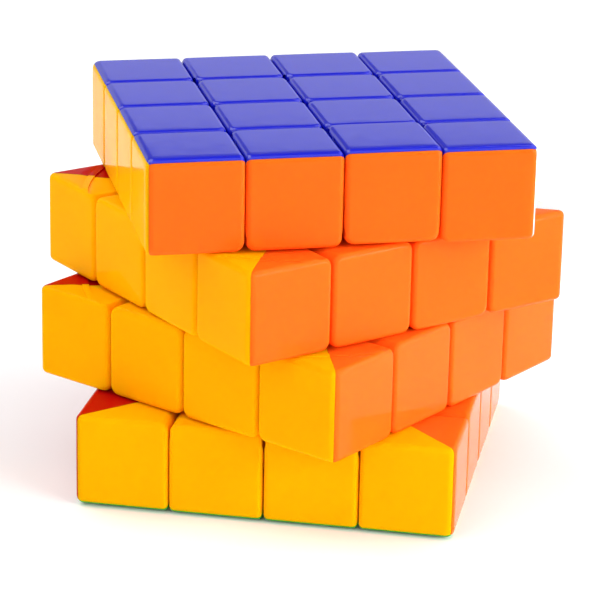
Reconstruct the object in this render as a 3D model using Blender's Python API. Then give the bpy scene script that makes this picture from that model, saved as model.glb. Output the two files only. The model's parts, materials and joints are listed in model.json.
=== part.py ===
"""A 4 x 4 x 4 twisty puzzle cube, its four layers turned about the vertical axis.

Fifty-six cubies (8 corners, 24 wings, 24 centres) ride on a grooved ball. The shapes are worked
out in millimetres round the middle of the cube and put down in metres, standing on the XY plane
with the turning axis on Z. Each kind of cubie is built once and copied to its places.
"""

import itertools
import math

import bmesh
import bpy
from mathutils import Matrix, Vector

METRES_PER_MM = 0.001

# The cube and its cubies.
CUBE_EDGE = 62.0
CELL = CUBE_EDGE / 4
CUBIE_GAP = 0.36
EDGE_RADIUS = 1.2
EDGE_STEPS = 2

# How far each layer is turned, in degrees anticlockwise seen from above.
LAYER_TURN = {"bottom": 90.0, "lower": 62.7, "upper": 45.2, "top": 22.4}

# Inside the shells the pieces part on planes this far from the middle.
INNER_CUT = 11.0
INNER_GAP = 0.5
NECK_INSET = 0.4

# Radii about the middle of the cube, from the outside in.
SHELL_CAVITY = 28.6
FOOT_OUTSIDE = 27.6
FOOT_INSIDE = 21.7
BALL = 21.0
DISC_OUTSIDE = 17.5
DISC_INSIDE = 15.3
SPHERE_STEPS = 6

# Each centre cubie's stem, and the grooves that it runs in.
STEM_OFFSET = 4.5
STEM = 1.5
DISC = 2.6
RUNNING_GAP = 0.3
STEM_SIDES = 8
LANE_STEPS = 30
RING_STEPS = 18
GROOVE_START = 0.03

# The sprung screw on the axis, which holds the two halves of the ball together.
HALF_GAP = 0.2
SCREW_SHANK = 1.0
SCREW_HEAD = 1.9
SCREW_TIP_Z = -12.0
SCREW_NECK_Z = 16.0
SCREW_TOP_Z = 17.6
SOCKET_RADIUS = 0.8
SOCKET_DEPTH = 0.9
BORE = 1.25
COUNTERBORE = 2.2
SEAT_Z = 10.0
SPRING_WIRE = 0.24
SPRING_RADIUS = 1.58
SPRING_TURNS = 4
SPRING_STEPS = 12
SPRING_SIDES = 5

# The colour of each side of the solved cube, by axis and direction, and the inner materials.
SIDE_COLOUR = {
    (0, 1): "white",
    (0, -1): "yellow",
    (1, 1): "red",
    (1, -1): "orange",
    (2, 1): "blue",
    (2, -1): "green",
}
MATERIALS = {
    "white": ((0.86, 0.86, 0.84), 0.2, 0.0),
    "yellow": ((0.95, 0.52, 0.01), 0.2, 0.0),
    "red": ((0.6, 0.01, 0.008), 0.2, 0.0),
    "orange": ((0.95, 0.17, 0.01), 0.2, 0.0),
    "blue": ((0.06, 0.05, 0.62), 0.2, 0.0),
    "green": ((0.03, 0.3, 0.03), 0.2, 0.0),
    "foot_plastic": ((0.03, 0.03, 0.035), 0.45, 0.0),
    "ball_plastic": ((0.55, 0.55, 0.53), 0.5, 0.0),
    "steel": ((0.55, 0.55, 0.57), 0.3, 1.0),
}


def clear_scene():
    for old in list(bpy.data.objects):
        bpy.data.objects.remove(old, do_unlink=True)


def make_material(name, colour, roughness, metallic):
    material = bpy.data.materials.new(name)
    material.use_nodes = True
    shader = material.node_tree.nodes["Principled BSDF"]
    shader.inputs["Base Color"].default_value = (*colour, 1.0)
    shader.inputs["Roughness"].default_value = roughness
    shader.inputs["Metallic"].default_value = metallic
    return material


def mesh_from(shape):
    """A mesh made from the bmesh, which is freed."""
    mesh = bpy.data.meshes.new("shape")
    shape.to_mesh(mesh)
    shape.free()
    return mesh


def box(ranges, rounding=0.0):
    """A box over three (low, high) ranges, with its edges rounded if asked."""
    shape = bmesh.new()
    bmesh.ops.create_cube(shape, size=1.0)
    for corner in shape.verts:
        corner.co = [
            (low + high) / 2 + value * (high - low)
            for value, (low, high) in zip(corner.co, ranges)
        ]
    if rounding:
        bmesh.ops.bevel(
            shape,
            geom=shape.edges,
            offset=rounding,
            offset_type="OFFSET",
            segments=EDGE_STEPS,
            profile=0.5,
            affect="EDGES",
        )
    return mesh_from(shape)


def sphere(radius):
    """A ball whose facets look the same along all three axes: a cube drawn out to a sphere."""
    shape = bmesh.new()
    bmesh.ops.create_cube(shape, size=2.0)
    bmesh.ops.subdivide_edges(shape, edges=shape.edges, cuts=SPHERE_STEPS - 1, use_grid_fill=True)
    for point in shape.verts:
        spread = Vector([math.tan(value * math.pi / 4) for value in point.co])
        point.co = spread.normalized() * radius
    bmesh.ops.triangulate(shape, faces=shape.faces)
    return mesh_from(shape)


def turned(profile, steps, start=0.0):
    """The closed profile of (radius, height) points turned once round Z, from a start angle."""
    shape = bmesh.new()
    axis_points = {i: shape.verts.new((0, 0, h)) for i, (r, h) in enumerate(profile) if r == 0}
    rows = []
    for step in range(steps):
        angle = start + 2 * math.pi * step / steps
        rows.append(
            [
                axis_points.get(i) or shape.verts.new((r * math.cos(angle), r * math.sin(angle), h))
                for i, (r, h) in enumerate(profile)
            ]
        )
    for row, following in zip(rows, rows[1:] + rows[:1]):
        for i in range(len(profile)):
            j = (i + 1) % len(profile)
            corners = list(dict.fromkeys((row[i], following[i], following[j], row[j])))
            if len(corners) > 2:
                shape.faces.new(corners)
    bmesh.ops.recalc_face_normals(shape, faces=shape.faces)
    return mesh_from(shape)


def combined(base, operation, tool):
    """The base mesh after a Boolean with the tool mesh."""
    scene_objects = bpy.context.scene.collection.objects
    base_object = bpy.data.objects.new("base", base)
    tool_object = bpy.data.objects.new("tool", tool)
    scene_objects.link(base_object)
    scene_objects.link(tool_object)
    boolean = base_object.modifiers.new("boolean", "BOOLEAN")
    boolean.operation = operation
    boolean.solver = "EXACT"
    boolean.object = tool_object
    graph = bpy.context.evaluated_depsgraph_get()
    result = bpy.data.meshes.new_from_object(base_object.evaluated_get(graph))
    bpy.data.objects.remove(base_object)
    bpy.data.objects.remove(tool_object)
    return result


def without(base, *tools):
    for tool in tools:
        base = combined(base, "DIFFERENCE", tool)
    return base


def joined(base, *tools):
    for tool in tools:
        base = combined(base, "UNION", tool)
    return base


# A cell's ranges: the outer rank of cells, and the inner rank beside the middle.
OUTER = (CELL + CUBIE_GAP / 2, 2 * CELL)
INNER = (CUBIE_GAP / 2, CELL - CUBIE_GAP / 2)
FOOT_OUTER = (INNER_CUT + INNER_GAP / 2, 2 * CELL - 5)
FOOT_INNER = (INNER_GAP / 2, INNER_CUT - INNER_GAP / 2)


def shell(ranges):
    """The rounded block of one cubie, hollowed to clear the feet of its neighbours."""
    return without(box(ranges, EDGE_RADIUS), sphere(SHELL_CAVITY))


def undercut(axis):
    """What a foot loses where it lies below the shell of the next cubie along this axis."""
    ranges = [(-1.0, 2 * CELL)] * 3
    ranges[axis] = (-1.0, CELL + NECK_INSET)
    return without(box(ranges), sphere(FOOT_OUTSIDE))


def foot(ranges, undercut_axes):
    """The foot that runs between the ball and the neighbouring shells, with its neck."""
    cutters = [undercut(axis) for axis in undercut_axes]
    return without(box(ranges), *cutters, sphere(FOOT_INSIDE))


def corner_cubie():
    """The corner at +X, +Y, +Z."""
    return joined(shell([OUTER, OUTER, OUTER]), foot([FOOT_OUTER] * 3, (0, 1, 2)))


def wing_cubie():
    """The wing between the +X and +Y sides, just above the middle."""
    return joined(
        shell([OUTER, OUTER, INNER]),
        foot([FOOT_OUTER, FOOT_OUTER, FOOT_INNER], (0, 1)),
    )


def on_sphere(x, y, radius):
    """The height at which the sphere of this radius stands over x, y."""
    return math.sqrt(radius**2 - x**2 - y**2)


def stem():
    """A round stem parallel to Z, ending in the disc that is held in the ball's groove."""
    shape = bmesh.new()
    middle = STEM_OFFSET
    ends = (DISC_INSIDE, DISC_OUTSIDE)
    sections = [(0.0, ends[0]), (DISC, ends[0]), (DISC, ends[1]), (STEM, ends[1])]
    rows = []
    for radius, level in sections:
        count = STEM_SIDES if radius else 1
        row = []
        for side in range(count):
            angle = 2 * math.pi * side / STEM_SIDES
            x = middle + radius * math.cos(angle)
            y = middle + radius * math.sin(angle)
            row.append(shape.verts.new((x, y, on_sphere(x, y, level))))
        rows.append(row)
    rows.append([shape.verts.new((*point.co.xy, FOOT_INSIDE + 3)) for point in rows[-1]])
    for lower, upper in zip(rows, rows[1:]):
        for side in range(STEM_SIDES):
            after = (side + 1) % STEM_SIDES
            ring = (lower[side % len(lower)], lower[after % len(lower)], upper[after], upper[side])
            shape.faces.new(list(dict.fromkeys(ring)))
    shape.faces.new(rows[-1])
    bmesh.ops.triangulate(shape, faces=shape.faces)
    bmesh.ops.recalc_face_normals(shape, faces=shape.faces)
    return mesh_from(shape)


def centre_cubie():
    """The centre on the +Z side, next to the middle in +X and +Y."""
    column_height = (INNER_CUT + 1, 2 * CELL - 1.5)
    column = without(box([FOOT_INNER, FOOT_INNER, column_height]), sphere(FOOT_INSIDE))
    return joined(shell([INNER, INNER, OUTER]), column, stem())


def groove_profile(offset):
    """A T-shaped groove, as (across, out) points about a line this far off the middle."""
    neck = STEM + RUNNING_GAP
    hall = DISC + RUNNING_GAP
    ceiling = DISC_OUTSIDE + RUNNING_GAP
    floor = DISC_INSIDE - RUNNING_GAP
    points = []
    for across, radius in (
        (offset - hall, floor),
        (offset - hall, ceiling),
        (offset - neck, ceiling),
    ):
        points.append((across, math.sqrt(radius**2 - across**2)))
    points.append((offset - neck, BALL + 2))
    points.append((offset + neck, BALL + 2))
    for across, radius in (
        (offset + neck, ceiling),
        (offset + hall, ceiling),
        (offset + hall, floor),
    ):
        points.append((across, math.sqrt(radius**2 - across**2)))
    return points


def turn_to(axis, direction):
    """The rotation that takes +Z to this direction."""
    target = Vector((0, 0, 0))
    target[axis] = direction
    return Vector((0, 0, 1)).rotation_difference(target).to_matrix().to_4x4()


def lane(axis):
    """The groove right round the ball that lets the slice on the + side of this axis turn."""
    profile = [(out, across) for across, out in groove_profile(STEM_OFFSET)]
    cutter = turned(profile, LANE_STEPS, GROOVE_START)
    cutter.transform(turn_to(axis, 1))
    return cutter


def ring(axis, direction):
    """The round groove under one side, for the stems of its four centres."""
    cutter = turned(groove_profile(STEM_OFFSET * math.sqrt(2)), RING_STEPS, GROOVE_START)
    cutter.transform(turn_to(axis, direction))
    return cutter


def grooved_ball():
    screw_hole = turned(
        [
            (0, SCREW_TIP_Z - 1),
            (BORE, SCREW_TIP_Z - 1),
            (BORE, SEAT_Z),
            (COUNTERBORE, SEAT_Z),
            (COUNTERBORE, BALL + 2),
            (0, BALL + 2),
        ],
        16,
    )
    lanes = [lane(axis) for axis in range(3)]
    rings = [ring(axis, direction) for axis, direction in SIDE_COLOUR]
    return without(sphere(BALL), *lanes, *rings, screw_hole)


def half_of(ball, direction):
    """The part of the ball above (+1) or below (-1) its parting plane."""
    reach = BALL + 2
    heights = sorted((direction * HALF_GAP / 2, direction * reach))
    keep = box([(-reach, reach), (-reach, reach), heights])
    return combined(ball.copy(), "INTERSECT", keep)


def screw():
    """A round-headed screw with a socket in its head."""
    profile = [
        (0, SCREW_TIP_Z),
        (SCREW_SHANK * 0.6, SCREW_TIP_Z),
        (SCREW_SHANK, SCREW_TIP_Z + 0.8),
        (SCREW_SHANK, SCREW_NECK_Z),
        (SCREW_HEAD, SCREW_NECK_Z),
        (SCREW_HEAD, SCREW_TOP_Z - 0.4),
        (SCREW_HEAD - 0.4, SCREW_TOP_Z),
        (SOCKET_RADIUS, SCREW_TOP_Z),
        (SOCKET_RADIUS, SCREW_TOP_Z - SOCKET_DEPTH),
        (0, SCREW_TOP_Z - SOCKET_DEPTH),
    ]
    return turned(profile, 18)


def spring():
    """The coil spring between the screw's head and its seat."""
    shape = bmesh.new()
    low = SEAT_Z + SPRING_WIRE + 0.1
    high = SCREW_NECK_Z - SPRING_WIRE - 0.1
    steps = SPRING_TURNS * SPRING_STEPS
    rows = []
    for step in range(steps + 1):
        angle = 2 * math.pi * step / SPRING_STEPS
        height = low + (high - low) * step / steps
        row = []
        for side in range(SPRING_SIDES):
            around = 2 * math.pi * side / SPRING_SIDES
            radius = SPRING_RADIUS + SPRING_WIRE * math.cos(around)
            rise = height + SPRING_WIRE * math.sin(around)
            row.append(shape.verts.new((radius * math.cos(angle), radius * math.sin(angle), rise)))
        rows.append(row)
    for lower, upper in zip(rows, rows[1:]):
        for side in range(SPRING_SIDES):
            after = (side + 1) % SPRING_SIDES
            shape.faces.new((lower[side], lower[after], upper[after], upper[side]))
    shape.faces.new(rows[0])
    shape.faces.new(rows[-1])
    bmesh.ops.recalc_face_normals(shape, faces=shape.faces)
    return mesh_from(shape)


def put_down(name, mesh, layer, materials):
    """The mesh as a named object, turned with its layer and lifted to stand on the ground."""
    lift = Matrix.Translation((0, 0, CUBE_EDGE / 2))
    turn = Matrix.Rotation(math.radians(LAYER_TURN[layer]), 4, "Z")
    mesh.transform(Matrix.Scale(METRES_PER_MM, 4) @ lift @ turn)
    mesh.name = name
    mesh.materials.clear()
    for material in materials:
        mesh.materials.append(material)
    mesh.shade_smooth()
    mesh.set_sharp_from_angle(angle=math.radians(34))
    piece = bpy.data.objects.new(name, mesh)
    bpy.context.scene.collection.objects.link(piece)
    flatten = piece.modifiers.new("flat faces", "WEIGHTED_NORMAL")
    flatten.keep_sharp = True


def colour_cubie(mesh, outer_axes):
    """Slot 0 for the foot, then one slot for each outward side, split on the mitre lines."""
    for face in mesh.polygons:
        if face.center.length < SHELL_CAVITY + 0.05:
            face.material_index = 0
        else:
            reach = [face.center[axis] for axis in outer_axes]
            face.material_index = 1 + reach.index(max(reach))


def layer_of(direction, rank):
    """The layer holding the cells of this rank (1 inner, 2 outer) above or below the middle."""
    if rank == 2:
        return "top" if direction > 0 else "bottom"
    return "upper" if direction > 0 else "lower"


def cubie_name(layer, kind, colours, taken):
    """layer_kind_colours, numbered where several cubies share it."""
    order = ["blue", "green", "orange", "red", "yellow", "white"]
    stem_name = "_".join([layer, kind, *sorted(colours, key=order.index)])
    taken[stem_name] = taken.get(stem_name, 0) + 1
    return stem_name, taken[stem_name]


def place_cubies(kind, master, outer_axes, placements, materials):
    """Copies the master to each of its places, given as an axis order and three signs."""
    colour_cubie(master, outer_axes)
    found = []
    for order, signs in placements:
        place = Matrix.Identity(4)
        for axis in range(3):
            place[axis][axis] = 0
        for source, target in enumerate(order):
            place[target][source] = signs[target]
        ranks = {target: 2 if source in outer_axes else 1 for source, target in enumerate(order)}
        layer = layer_of(signs[2], ranks[2])
        colours = [SIDE_COLOUR[order[source], signs[order[source]]] for source in outer_axes]
        found.append((layer, colours, place))
    names = {}
    for layer, colours, place in found:
        base, number = cubie_name(layer, kind, colours, names)
        mesh = master.copy()
        mesh.transform(place)
        if place.determinant() < 0:
            mesh.flip_normals()
        shared = sum(cubie_name(a, kind, b, {})[0] == base for a, b, _ in found) > 1
        name = f"{base}_{number}" if shared else base
        slots = [materials["foot_plastic"], *(materials[colour] for colour in colours)]
        put_down(name, mesh, layer, slots)


def build_cube():
    clear_scene()
    materials = {name: make_material(name, *look) for name, look in MATERIALS.items()}
    signs = list(itertools.product((1, -1), repeat=3))
    cyclic_orders = ((0, 1, 2), (1, 2, 0), (2, 0, 1))
    everywhere = list(itertools.product(cyclic_orders, signs))
    one_order = [((0, 1, 2), sign) for sign in signs]
    place_cubies("corner", corner_cubie(), (0, 1, 2), one_order, materials)
    place_cubies("wing", wing_cubie(), (0, 1), everywhere, materials)
    place_cubies("centre", centre_cubie(), (2,), everywhere, materials)
    ball = grooved_ball()
    put_down("ball_upper_half", half_of(ball, 1), "lower", [materials["ball_plastic"]])
    put_down("ball_lower_half", half_of(ball, -1), "lower", [materials["ball_plastic"]])
    put_down("ball_screw", screw(), "lower", [materials["steel"]])
    put_down("ball_spring", spring(), "lower", [materials["steel"]])


build_cube()
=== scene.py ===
"""The puzzle cube's looks: coloured shells, feet, ball and studio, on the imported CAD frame."""

import itertools
import json
import math
import random

import bmesh
import bpy
import numpy as np
from mathutils import Euler, Matrix, Vector

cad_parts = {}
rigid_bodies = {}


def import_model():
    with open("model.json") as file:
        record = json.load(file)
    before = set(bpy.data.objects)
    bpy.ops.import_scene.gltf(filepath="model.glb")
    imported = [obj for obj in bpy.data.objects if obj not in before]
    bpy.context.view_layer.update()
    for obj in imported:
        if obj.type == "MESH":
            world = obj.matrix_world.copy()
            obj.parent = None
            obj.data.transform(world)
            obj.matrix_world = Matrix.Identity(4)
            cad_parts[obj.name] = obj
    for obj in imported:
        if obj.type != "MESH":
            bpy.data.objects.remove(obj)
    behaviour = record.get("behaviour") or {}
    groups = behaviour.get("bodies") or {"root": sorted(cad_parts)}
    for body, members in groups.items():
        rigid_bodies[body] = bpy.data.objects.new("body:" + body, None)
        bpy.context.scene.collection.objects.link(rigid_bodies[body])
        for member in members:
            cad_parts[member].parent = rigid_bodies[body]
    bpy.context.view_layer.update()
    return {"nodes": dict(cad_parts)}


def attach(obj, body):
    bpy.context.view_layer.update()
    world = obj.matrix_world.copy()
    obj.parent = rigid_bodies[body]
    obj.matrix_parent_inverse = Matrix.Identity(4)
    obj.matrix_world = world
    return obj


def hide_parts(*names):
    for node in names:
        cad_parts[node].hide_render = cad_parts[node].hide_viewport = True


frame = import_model()

MM = 0.001

# The cube, as the CAD part has it, in millimetres and degrees.
CELL = 15.5
CUBE_MIDDLE = 31.0
LAYER_TURN = {"bottom": 90.0, "lower": 62.7, "upper": 45.2, "top": 22.4}
LAYER_BODY = {
    "bottom": "bottom_layer",
    "lower": "lower_slice",
    "upper": "upper_slice",
    "top": "top_layer",
}

# The round hollow inside the shells, and how far each foot stays inside it, in millimetres.
SHELL_CAVITY = 28.6
FOOT_CLEARANCE = 0.1

# How a moulded shell is finished, in millimetres and degrees. Between two cubies the walls stand
# closer than the CAD gap.
SHELL_GAP = 0.1
CUBE_RADIUS = 1.4
SLOT_RADIUS = 1.7
EDGE_RADIUS = 0.95
ROUNDING_STEPS = 7
FLAT_STEPS = 6
CROWN = 0.05
SEAM_GAP = 0.015
SEAM_WIDTH = 0.06
SEAM_DEPTH = 0.05
SEAM_WRAP = 0.17
SHARP_ANGLE = 32.0
CUT_TOLERANCE = 0.0005

# The track left standing round the turning axis on the ends of every wing: radii and depths.
TRACK_START = 20.45
TRACK_INNER = 35.45
TRACK_OUTER = 36.55
TRACK_RECESS = 0.25
TRACK_GROOVE = 0.14
TRACK_GROOVE_END = 39.2
TRACK_STEPS = 160

# How far a cubie sits off its true place, in millimetres and degrees, and what the chances grow from.
CORNER_SINK = 0.04
PLAY = 0.015
PLAY_TILT = 0.08
PLAY_SEED = 4
LIFTED = {"top_wing_blue_orange_1": 0.32}

# The camera, matched to the photograph's perspective, in millimetres and degrees.
CAMERA_AZIMUTH = 10.34
CAMERA_ELEVATION = 19.31
CAMERA_ROLL = 1.18
CAMERA_DISTANCE = 469.2
CAMERA_LENS = 168.5
AIM_RIGHT = -0.22
AIM_UP = -3.47

SIDE_COLOUR = {
    (0, 1): "white",
    (0, -1): "yellow",
    (1, 1): "red",
    (1, -1): "orange",
    (2, 1): "blue",
    (2, -1): "green",
}
COLOUR_ORDER = ["blue", "green", "orange", "red", "yellow", "white"]


# ---------------------------------------------------------------- materials


def new_material(name):
    material = bpy.data.materials.new(name)
    material.use_nodes = True
    tree = material.node_tree
    return material, tree, tree.nodes["Principled BSDF"]


def noise(tree, scale, detail=3.0):
    """A noise texture in the object's own coordinates, with this many cells to the metre."""
    place = tree.nodes.new("ShaderNodeTexCoord")
    texture = tree.nodes.new("ShaderNodeTexNoise")
    texture.inputs["Scale"].default_value = scale
    texture.inputs["Detail"].default_value = detail
    tree.links.new(place.outputs["Object"], texture.inputs["Vector"])
    return texture.outputs["Fac"]


def spread(tree, source, low, high):
    """The source's middle range spread over low to high."""
    ranged = tree.nodes.new("ShaderNodeMapRange")
    ranged.inputs["From Min"].default_value = 0.3
    ranged.inputs["From Max"].default_value = 0.7
    ranged.inputs["To Min"].default_value = low
    ranged.inputs["To Max"].default_value = high
    tree.links.new(source, ranged.inputs["Value"])
    return ranged.outputs["Result"]


def bumped(tree, shader, source, distance):
    """Gives the shader bumps of this height, in metres, where the source is high."""
    bump = tree.nodes.new("ShaderNodeBump")
    bump.inputs["Distance"].default_value = distance
    tree.links.new(source, bump.inputs["Height"])
    tree.links.new(bump.outputs["Normal"], shader.inputs["Normal"])


def mixed_colour(tree, factor, first, second):
    mix = tree.nodes.new("ShaderNodeMix")
    mix.data_type = "RGBA"
    mix.inputs["A"].default_value = (*first, 1.0)
    mix.inputs["B"].default_value = (*second, 1.0)
    tree.links.new(factor, mix.inputs["Factor"])
    return mix.outputs["Result"]


def gloss_plastic(name, colour, shine, sheen):
    """Moulded ABS: nearly mirror-smooth, with faint flow marks, sink and handling haze."""
    material, tree, shader = new_material(name)
    shade = [value * 0.96 for value in colour]
    flow = spread(tree, noise(tree, 60.0), 0.0, 1.0)
    tree.links.new(mixed_colour(tree, flow, shade, colour), shader.inputs["Base Color"])
    haze = spread(tree, noise(tree, 420.0, 6.0), 0.07, 0.13)
    tree.links.new(haze, shader.inputs["Roughness"])
    bumped(tree, shader, noise(tree, 130.0, 2.0), 0.00003)
    shader.inputs["Specular IOR Level"].default_value = shine
    shader.inputs["Specular Tint"].default_value = (*sheen, 1.0)
    shader.inputs["Subsurface Weight"].default_value = 0.7
    shader.inputs["Subsurface Radius"].default_value = (0.0025, 0.0009, 0.0004)
    shader.inputs["Subsurface Scale"].default_value = 1.0
    return material


def dull_plastic(name, colour, roughness):
    """Moulded nylon: satin, with a fine spark-eroded grain."""
    material, tree, shader = new_material(name)
    shade = [value * 0.8 for value in colour]
    patch = spread(tree, noise(tree, 150.0), 0.0, 1.0)
    tree.links.new(mixed_colour(tree, patch, shade, colour), shader.inputs["Base Color"])
    rough = spread(tree, noise(tree, 900.0, 5.0), roughness - 0.06, roughness + 0.06)
    tree.links.new(rough, shader.inputs["Roughness"])
    bumped(tree, shader, noise(tree, 3000.0, 2.0), 0.00002)
    return material


def bright_steel(name):
    material, tree, shader = new_material(name)
    tint = spread(tree, noise(tree, 300.0), 0.0, 1.0)
    colour = mixed_colour(tree, tint, (0.42, 0.42, 0.44), (0.6, 0.6, 0.61))
    tree.links.new(colour, shader.inputs["Base Color"])
    rough = spread(tree, noise(tree, 1500.0, 5.0), 0.2, 0.35)
    tree.links.new(rough, shader.inputs["Roughness"])
    shader.inputs["Metallic"].default_value = 1.0
    return material


# Each plastic's colour, how strongly it reflects, and the tint of what it reflects head on.
PLASTIC = {
    "blue": ((0.005, 0.008, 0.45), 0.5, (1.0, 1.0, 1.0)),
    "orange": ((0.99, 0.121, 0.007), 0.085, (1.0, 0.6, 0.5)),
    "yellow": ((0.99, 0.395, 0.001), 0.012, (1.0, 0.8, 0.1)),
    "red": ((0.43, 0.003, 0.002), 0.028, (1.0, 0.5, 0.3)),
    "white": ((0.76, 0.76, 0.74), 0.5, (1.0, 1.0, 1.0)),
    "green": ((0.03, 0.34, 0.008), 0.1, (0.6, 1.0, 0.4)),
}
COLOURS = {name: gloss_plastic(f"{name}_abs", *look) for name, look in PLASTIC.items()}
FOOT_PLASTIC = dull_plastic("foot_nylon", (0.03, 0.03, 0.035), 0.42)
BALL_PLASTIC = dull_plastic("ball_nylon", (0.55, 0.55, 0.53), 0.45)
STEEL = bright_steel("zinc_plated_steel")


# ---------------------------------------------------------------- shells, in mm round the middle


def mesh_from(shape):
    mesh = bpy.data.meshes.new("shape")
    shape.to_mesh(mesh)
    shape.free()
    return mesh


def combined(base, operation, tool):
    """The base mesh after a Boolean with the tool mesh."""
    scene_objects = bpy.context.scene.collection.objects
    base_object = bpy.data.objects.new("base", base)
    tool_object = bpy.data.objects.new("tool", tool)
    scene_objects.link(base_object)
    scene_objects.link(tool_object)
    boolean = base_object.modifiers.new("boolean", "BOOLEAN")
    boolean.operation = operation
    boolean.solver = "EXACT"
    boolean.object = tool_object
    graph = bpy.context.evaluated_depsgraph_get()
    result = bpy.data.meshes.new_from_object(base_object.evaluated_get(graph))
    bpy.data.objects.remove(base_object)
    bpy.data.objects.remove(tool_object)
    return result


def bevelled(shape, edges, radius):
    bmesh.ops.bevel(
        shape,
        geom=edges,
        offset=radius,
        offset_type="OFFSET",
        segments=ROUNDING_STEPS,
        profile=0.5,
        affect="EDGES",
    )
    shape.normal_update()


def split(shape, point, normal, clear_inner=False):
    """Cuts the shape's faces along a plane, dropping what lies behind it if asked."""
    return bmesh.ops.bisect_plane(
        shape,
        geom=shape.verts[:] + shape.edges[:] + shape.faces[:],
        dist=CUT_TOLERANCE,
        plane_co=point,
        plane_no=normal,
        clear_inner=clear_inner,
    )["geom_cut"]


def crown(shape, ranges):
    """Draws each face's rim in a little, so that its flat is very slightly domed."""
    shape.normal_update()
    for point in shape.verts:
        spread_out = []
        for value, (low, high) in zip(point.co, ranges):
            spread_out.append((2 * value - low - high) / (high - low))
        for axis in range(3):
            others = [spread_out[other] ** 2 for other in range(3) if other != axis]
            sink = CROWN * sum(others) / 2 * point.normal[axis] ** 2
            point.co[axis] -= math.copysign(sink, spread_out[axis])


def rounded_block(ranges, outer_axes):
    """A block rounded most along its slots, less along the cube's edges, least round its sides."""
    shape = bmesh.new()
    bmesh.ops.create_cube(shape, size=1.0)
    for corner in shape.verts:
        corner.co = [
            (low + high) / 2 + value * (high - low)
            for value, (low, high) in zip(corner.co, ranges)
        ]
    shape.normal_update()

    def edges_between(outward_sides):
        """The sharp edges with this many outward sides."""
        found = []
        for edge in shape.edges:
            sides = [max(face.normal[axis] for axis in outer_axes) for face in edge.link_faces]
            count = sum(side > 0.99 for side in sides)
            if count == outward_sides and edge.calc_face_angle() > 1:
                found.append(edge)
        return found

    bevelled(shape, edges_between(0), SLOT_RADIUS)
    bevelled(shape, edges_between(2), CUBE_RADIUS)
    bevelled(shape, [e for e in shape.edges if e.calc_face_angle() > 1], EDGE_RADIUS)
    for axis, (low, high) in enumerate(ranges):
        across = Vector((0, 0, 0))
        across[axis] = 1
        for step in range(1, FLAT_STEPS):
            split(shape, across * (low + (high - low) * step / FLAT_STEPS), across)
    crown(shape, ranges)
    return shape


def mitred(shape, keep_axis, cut_axis, wrap):
    """Keeps the side where keep_axis leads cut_axis, with a small V left along the seam."""
    across = Vector((0, 0, 0))
    across[keep_axis], across[cut_axis] = 1, -1
    across.normalize()
    split(shape, across * (SEAM_WIDTH - wrap), across)
    cut = split(shape, across * (SEAM_GAP - wrap), across, clear_inner=True)
    shape.normal_update()
    edges = [item for item in cut if isinstance(item, bmesh.types.BMEdge)]
    for point in cut:
        if isinstance(point, bmesh.types.BMVert):
            inward = point.normal - across * point.normal.dot(across)
            point.co -= inward.normalized() * SEAM_DEPTH
    filled = bmesh.ops.contextual_create(shape, geom=edges)["faces"]
    bmesh.ops.triangulate(shape, faces=filled, quad_method="BEAUTY", ngon_method="BEAUTY")
    bmesh.ops.recalc_face_normals(shape, faces=shape.faces)


OUTER = (CELL + SHELL_GAP / 2, 2 * CELL)
INNER = (SHELL_GAP / 2, CELL - SHELL_GAP / 2)
RANGES = {
    "corner": [OUTER, OUTER, OUTER],
    "wing": [OUTER, OUTER, INNER],
    "centre": [INNER, INNER, OUTER],
}
OUTER_AXES = {"corner": (0, 1, 2), "wing": (0, 1), "centre": (2,)}


def turned(profile):
    """A closed profile of (radius, height) points, turned about Z."""
    shape = bmesh.new()
    rings = []
    for step in range(TRACK_STEPS):
        turn = Matrix.Rotation(math.tau * step / TRACK_STEPS, 3, "Z")
        rings.append([shape.verts.new(turn @ Vector((r, 0, height))) for r, height in profile])
    for ring, after in zip(rings, rings[1:] + rings[:1]):
        for index, corner in enumerate(ring):
            shape.faces.new((ring[index - 1], after[index - 1], after[index], corner))
    bmesh.ops.recalc_face_normals(shape, faces=shape.faces)
    return mesh_from(shape)


def track_cutter(top):
    """What is milled off a wing's end round its track, at its top end or at its bottom end."""
    end = CELL - SHELL_GAP / 2
    clear = end + 0.1
    outline = [
        (TRACK_START, end - TRACK_RECESS),
        (TRACK_INNER, end - TRACK_RECESS),
        (TRACK_INNER, clear),
        (TRACK_OUTER, clear),
        (TRACK_OUTER, end - TRACK_GROOVE),
        (TRACK_GROOVE_END, clear),
        (TRACK_GROOVE_END, end + 1),
        (TRACK_START, end + 1),
    ]
    return turned([(r, height if top else CELL - height) for r, height in outline])


def hollow_block(kind):
    """The block of one kind of cubie, without the cavity that clears its neighbours' feet."""
    block = mesh_from(rounded_block(RANGES[kind], OUTER_AXES[kind]))
    cavity = bmesh.new()
    bmesh.ops.create_icosphere(cavity, subdivisions=5, radius=SHELL_CAVITY)
    block = combined(block, "DIFFERENCE", mesh_from(cavity))
    if kind == "wing":
        for top in (True, False):
            block = combined(block, "DIFFERENCE", track_cutter(top))
    return block


def shell_of(kind, block, axis, order):
    """The shell on this axis of the block. The top and bottom colours wrap over the others."""
    shape = bmesh.new()
    shape.from_mesh(block)
    for other in OUTER_AXES[kind]:
        if other != axis:
            lead = (order[axis] == 2) - (order[other] == 2)
            mitred(shape, axis, other, SEAM_WRAP * lead)
    return mesh_from(shape)


# ---------------------------------------------------------------- putting shells on the frame


def layer_of(direction, outer):
    if outer:
        return "top" if direction > 0 else "bottom"
    return "upper" if direction > 0 else "lower"


def to_world(layer):
    """From millimetres round the middle of the solved cube to the layer's place at rest."""
    lift = Matrix.Translation((0, 0, CUBE_MIDDLE))
    turn = Matrix.Rotation(math.radians(LAYER_TURN[layer]), 4, "Z")
    return Matrix.Scale(MM, 4) @ lift @ turn


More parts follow.
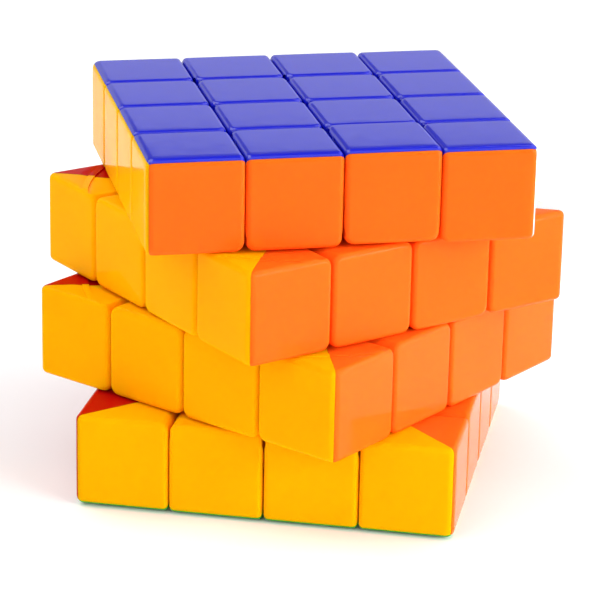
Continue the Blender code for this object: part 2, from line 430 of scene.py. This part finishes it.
def put_down(name, mesh, material, body, *replaced):
    mesh.name = name
    mesh.materials.clear()
    mesh.materials.append(material)
    mesh.shade_smooth()
    mesh.set_sharp_from_angle(angle=math.radians(SHARP_ANGLE))
    piece = bpy.data.objects.new(name, mesh)
    bpy.context.scene.collection.objects.link(piece)
    flatten = piece.modifiers.new("flat faces", "WEIGHTED_NORMAL")
    flatten.keep_sharp = True
    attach(piece, body)
    if replaced:
        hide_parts(*replaced)
    return piece


def placements(kind):
    """Each cubie of this kind: its CAD node, its layer, its colours, its axis order and place."""
    orders = [(0, 1, 2)] if kind == "corner" else [(0, 1, 2), (1, 2, 0), (2, 0, 1)]
    found = []
    for order, signs in itertools.product(orders, itertools.product((1, -1), repeat=3)):
        place = Matrix.Diagonal((0, 0, 0, 1))
        for source, target in enumerate(order):
            place[target][source] = signs[target]
        layer = layer_of(signs[2], order.index(2) in OUTER_AXES[kind])
        colours = [SIDE_COLOUR[order[axis], signs[order[axis]]] for axis in OUTER_AXES[kind]]
        base = "_".join([layer, kind, *sorted(colours, key=COLOUR_ORDER.index)])
        found.append((base, layer, colours, order, place))
    bases = [base for base, *_ in found]
    for index, (base, *rest) in enumerate(found):
        number = bases[: index + 1].count(base)
        yield (f"{base}_{number}" if bases.count(base) > 1 else base, *rest)


def placed(master, place):
    mesh = master.copy()
    mesh.transform(place)
    if place.determinant() < 0:
        mesh.flip_normals()
    return mesh


def foot_of(node):
    """The foot and neck of the CAD cubie, cut off where they enter its shells."""
    core = bmesh.new()
    bmesh.ops.create_icosphere(core, subdivisions=5, radius=(SHELL_CAVITY - FOOT_CLEARANCE) * MM)
    bmesh.ops.translate(core, verts=core.verts, vec=(0, 0, CUBE_MIDDLE * MM))
    return combined(frame["nodes"][node].data.copy(), "INTERSECT", mesh_from(core))


def settled(node, kind, place, chance):
    """The small shift and tilt with which a cubie sits in its place."""
    middle = place @ Vector([(low + high) / 2 for low, high in RANGES[kind]])
    shift = Vector([chance.uniform(-PLAY, PLAY) for _ in range(3)])
    if kind == "corner":
        shift.z -= math.copysign(CORNER_SINK, middle.z)
    shift.z += LIFTED.get(node, 0.0)
    tilts = [math.radians(chance.uniform(-PLAY_TILT, PLAY_TILT)) for _ in range(3)]
    tilt = Euler(tilts).to_matrix().to_4x4()
    return Matrix.Translation(middle + shift) @ tilt @ Matrix.Translation(-middle)


def dress_cubies():
    chance = random.Random(PLAY_SEED)
    for kind in RANGES:
        block = hollow_block(kind)
        shells = {}
        for node, layer, colours, order, place in placements(kind):
            body = LAYER_BODY[layer]
            seat = to_world(layer) @ settled(node, kind, place, chance)
            for axis, colour in zip(OUTER_AXES[kind], colours):
                if (axis, order) not in shells:
                    shells[axis, order] = shell_of(kind, block, axis, order)
                mesh = placed(shells[axis, order], place)
                mesh.transform(seat)
                put_down(f"{node}.{colour}_shell", mesh, COLOURS[colour], body, node)
            put_down(f"{node}.foot", foot_of(node), FOOT_PLASTIC, body, node)


def dress_ball():
    for node, material in (
        ("ball_upper_half", BALL_PLASTIC),
        ("ball_lower_half", BALL_PLASTIC),
        ("ball_screw", STEEL),
        ("ball_spring", STEEL),
    ):
        frame["nodes"][node].data.materials.clear()
        frame["nodes"][node].data.materials.append(material)


# ---------------------------------------------------------------- studio


def add_floor():
    material, tree, shader = new_material("studio_white")
    tone = spread(tree, noise(tree, 3.0), 0.0, 1.0)
    colour = mixed_colour(tree, tone, (0.94, 0.94, 0.94), (0.96, 0.96, 0.96))
    tree.links.new(colour, shader.inputs["Base Color"])
    shader.inputs["Roughness"].default_value = 0.5
    shader.inputs["Specular IOR Level"].default_value = 0.3
    shape = bmesh.new()
    bmesh.ops.create_grid(shape, x_segments=8, y_segments=8, size=FLOOR_REACH)
    mesh = mesh_from(shape)
    mesh.materials.append(material)
    floor = bpy.data.objects.new("studio_floor", mesh)
    bpy.context.scene.collection.objects.link(floor)
    floor.location.z = -FLOOR_DROP


def direction(azimuth, elevation):
    azimuth, elevation = math.radians(azimuth), math.radians(elevation)
    level = math.cos(elevation)
    return Vector((math.cos(azimuth) * level, math.sin(azimuth) * level, math.sin(elevation)))


def add_panel(name, azimuth, elevation, distance, width, height, brightness):
    """A soft panel facing the cube, with this radiance."""
    light = bpy.data.lights.new(name, "AREA")
    light.shape = "RECTANGLE"
    light.size, light.size_y = width, height
    light.energy = brightness * math.pi * width * height
    lamp = bpy.data.objects.new(name, light)
    toward = direction(azimuth, elevation)
    lamp.location = toward * distance + Vector((0, 0, CUBE_MIDDLE * MM))
    lamp.rotation_euler = (-toward).to_track_quat("-Z", "Y").to_euler()
    bpy.context.scene.collection.objects.link(lamp)


# Each panel's azimuth and elevation in degrees, distance, width and height in metres, brightness.
PANELS = {
    "back": (98.0, 8.8, 1.2, 1.9, 0.44, 0.5),
    "back_right": (45.0, 45.0, 0.8, 0.6, 0.6, 1.3),
    "back_left": (155.0, 50.0, 0.8, 0.6, 0.6, 2.3),
    "right": (8.0, 17.0, 0.8, 0.6, 0.5, 3.2),
    "low_right": (-23.0, 15.0, 0.9, 0.6, 0.5, 8.5),
    "key": (-8.0, 42.0, 0.8, 0.6, 0.6, 0.8),
    "zenith": (-80.0, 80.0, 0.8, 0.9, 0.5, 1.0),
    "front": (-90.0, 22.0, 0.9, 0.6, 0.5, 1.4),
    "front_left": (-125.0, 28.0, 0.9, 0.6, 0.5, 2.1),
    "left_high": (190.0, 55.0, 0.8, 0.6, 0.6, 1.0),
}
ROOM_BRIGHTNESS = 0.22
FLOOR_REACH = 6.0
FLOOR_DROP = 0.0002


def light_studio():
    world = bpy.data.worlds.new("studio")
    bpy.context.scene.world = world
    world.use_nodes = True
    background = world.node_tree.nodes["Background"]
    background.inputs["Color"].default_value = (1.0, 1.0, 1.0, 1.0)
    background.inputs["Strength"].default_value = ROOM_BRIGHTNESS
    for name, placing in PANELS.items():
        add_panel(name, *placing)


def add_camera():
    azimuth = math.radians(CAMERA_AZIMUTH)
    elevation = math.radians(CAMERA_ELEVATION)
    roll = math.radians(CAMERA_ROLL)
    back = Vector(
        (
            math.sin(azimuth) * math.cos(elevation),
            -math.cos(azimuth) * math.cos(elevation),
            math.sin(elevation),
        )
    )
    level_right = Vector((math.cos(azimuth), math.sin(azimuth), 0))
    level_up = back.cross(level_right)
    right = level_right * math.cos(roll) + level_up * math.sin(roll)
    up = level_up * math.cos(roll) - level_right * math.sin(roll)
    aim = Vector((0, 0, CUBE_MIDDLE)) + right * AIM_RIGHT + up * AIM_UP
    camera = bpy.data.objects.new("camera", bpy.data.cameras.new("camera"))
    camera.data.lens = CAMERA_LENS
    axes = Matrix((right, up, back)).transposed().to_4x4()
    camera.matrix_world = Matrix.Translation((aim + back * CAMERA_DISTANCE) * MM) @ axes
    bpy.context.scene.collection.objects.link(camera)
    bpy.context.scene.camera = camera


dress_cubies()
dress_ball()
add_floor()
light_studio()
add_camera()
bpy.context.scene.view_settings.view_transform = "Standard"
